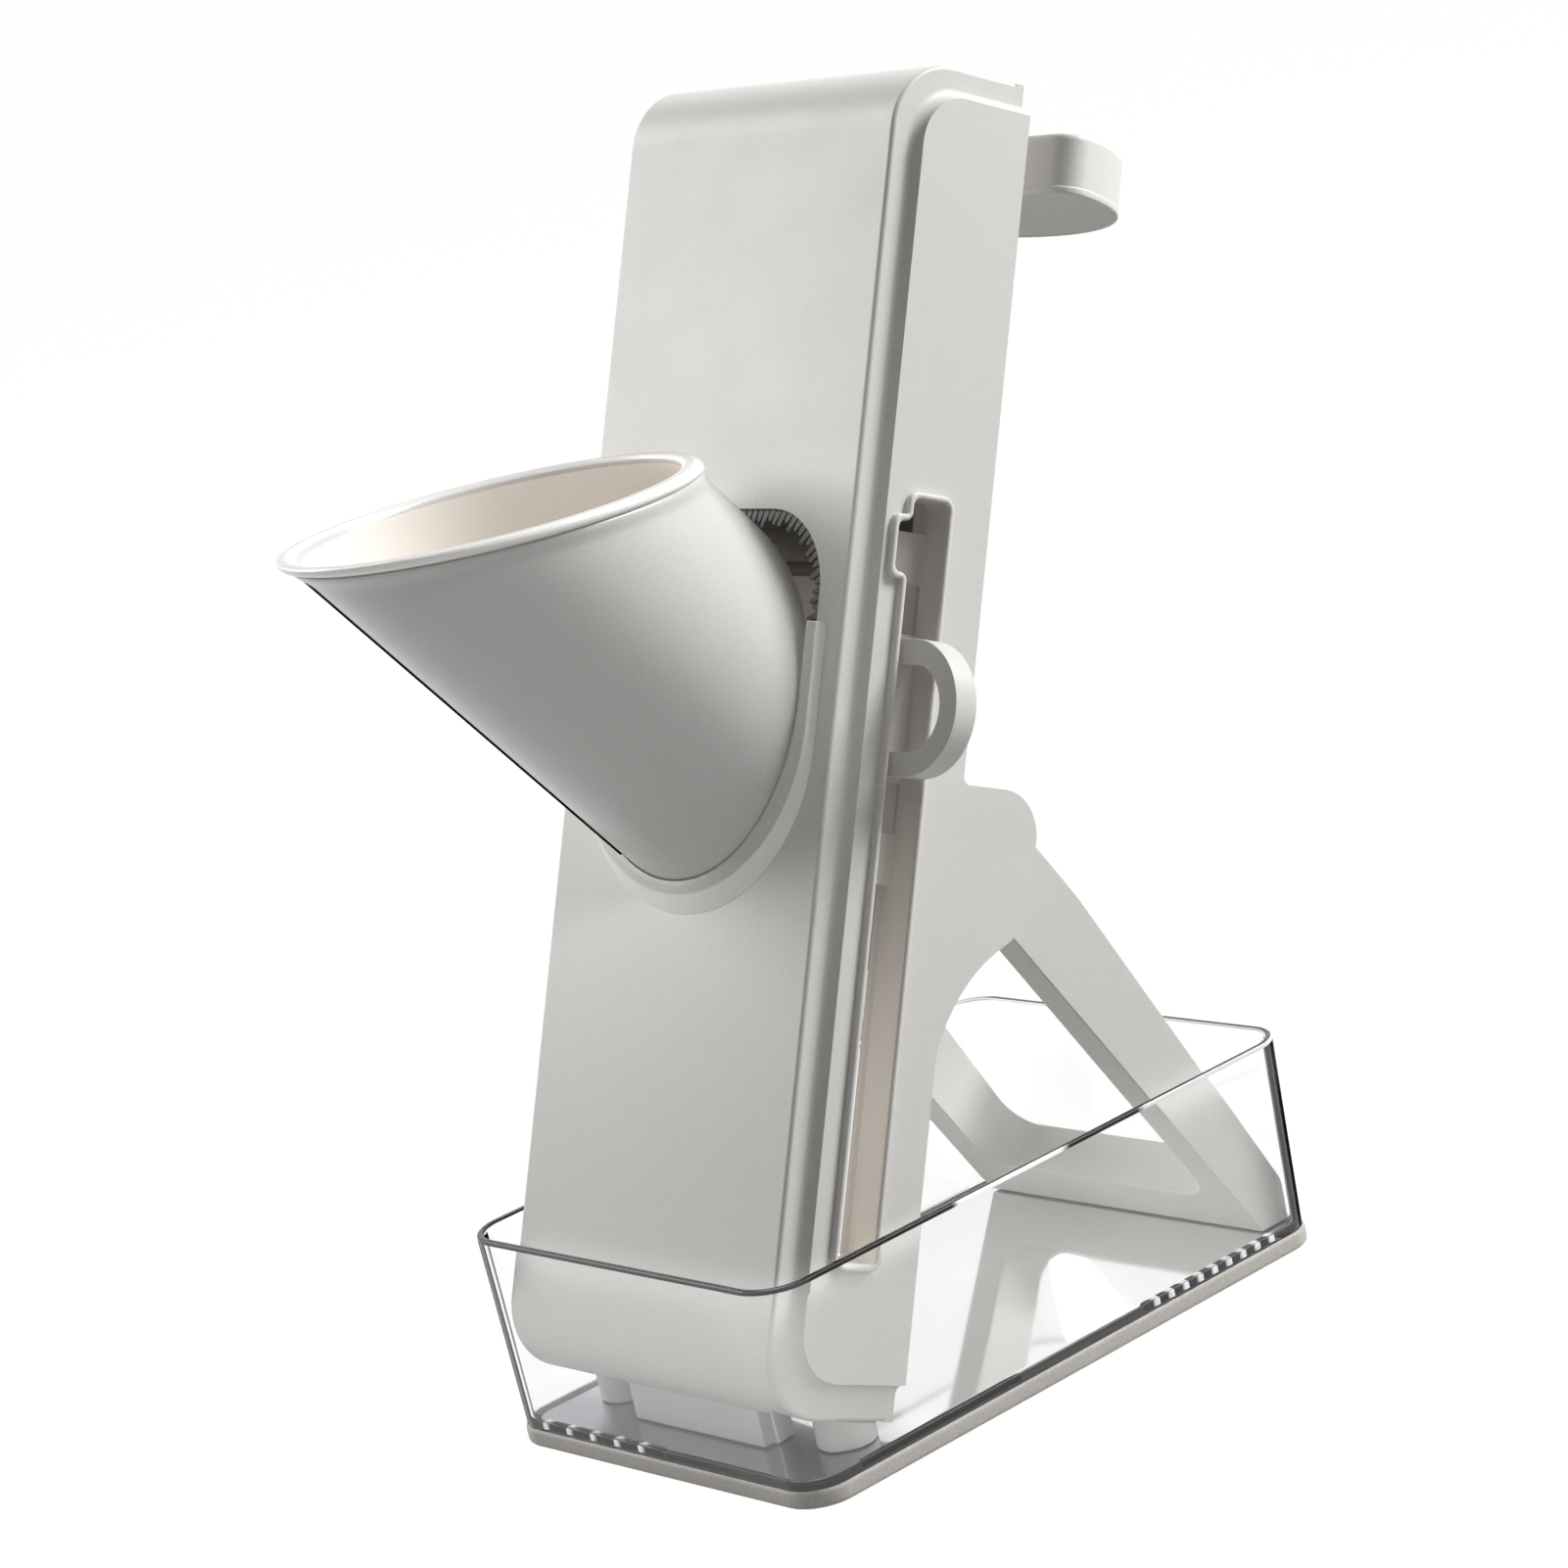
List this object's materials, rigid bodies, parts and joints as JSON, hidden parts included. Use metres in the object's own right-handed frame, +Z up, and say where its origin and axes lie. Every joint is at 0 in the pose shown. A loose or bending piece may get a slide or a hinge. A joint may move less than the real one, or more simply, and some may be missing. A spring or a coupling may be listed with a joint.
{
  "type": "vegetable chopper",
  "caption": "Leaning hand slicer that stands in a clear collecting bin, with a slanted feed funnel, a side pull ring for its blade carriage and a folding rear stand.",
  "frame": {"origin": "on the ground at the middle of the base ring's front strip, midway between the sides", "axes": "+Z up, +Y to the rear, +X to the side with the pull ring"},
  "size_m": [0.1295, 0.2476, 0.3067],
  "materials": {
    "shell_plastic": "satin moulded plastic, warm light grey",
    "dark_plastic": "moulded plastic, dark grey",
    "clear_plastic": "clear polished plastic",
    "ring_plastic": "soft matt plastic, grey beige",
    "steel": "fine brushed stainless steel",
    "pad_rubber": "soft matt rubber"
  },
  "bodies": {
    "bin": {"storage_bin": "clear_plastic", "bin_base_ring": "ring_plastic"},
    "housing": {"front_cover": "shell_plastic", "back_cover": "shell_plastic", "right_panel": "shell_plastic", "left_panel": "shell_plastic", "slot_rim": "shell_plastic", "chute_bracket": "shell_plastic", "throat_ring": "dark_plastic", "grab_handle": "shell_plastic", "guide_rail_right": "dark_plastic", "guide_rail_left": "dark_plastic", "discharge_chute": "shell_plastic", "foot_bar": "shell_plastic", "body_foot_1": "shell_plastic", "body_foot_2": "shell_plastic", "cover_screw_1": "steel", "cover_screw_2": "steel", "cover_screw_3": "steel", "cover_screw_4": "steel", "hinge_pin_right": "steel", "hinge_pin_left": "steel", "hinge_washer_right": "dark_plastic", "hinge_washer_left": "dark_plastic"},
    "funnel": {"feed_funnel": "shell_plastic"},
    "carriage": {"carriage_frame": "dark_plastic", "carriage_shoe_1": "dark_plastic", "carriage_shoe_2": "dark_plastic", "carriage_shoe_3": "dark_plastic", "carriage_shoe_4": "dark_plastic", "slicing_blade": "steel", "comb_blade": "steel", "landing_plate": "steel", "blade_screw_1": "steel", "blade_screw_2": "steel", "handle_block": "dark_plastic", "handle_screw_1": "steel", "handle_screw_2": "steel", "pull_ring": "shell_plastic"},
    "stand": {"stand_frame": "shell_plastic", "stand_pad_right": "pad_rubber", "stand_pad_left": "pad_rubber"}
  },
  "joints": [
    {"name": "chopper_lift", "type": "slide", "parent": "bin", "child": "housing", "axis": [0, 0, 1], "range_m": [0, 0.118]},
    {"name": "stand_fold", "type": "hinge", "parent": "housing", "child": "stand", "pos_m": [0, 0.09306, 0.12564], "axis": [-1, 0, 0], "range_deg": [0, 54]},
    {"name": "carriage_slide", "type": "slide", "parent": "housing", "child": "carriage", "axis": [0, 0.3979, 0.9174], "range_m": [-0.104, 0.03]},
    {"name": "funnel_lift", "type": "slide", "parent": "housing", "child": "funnel", "axis": [0, 0.3979, 0.9174], "range_m": [0, 0.07]}
  ],
  "couplings": [
    {"joint": "stand_fold", "follows": "chopper_lift", "rad_per_m": 7.98}
  ]
}
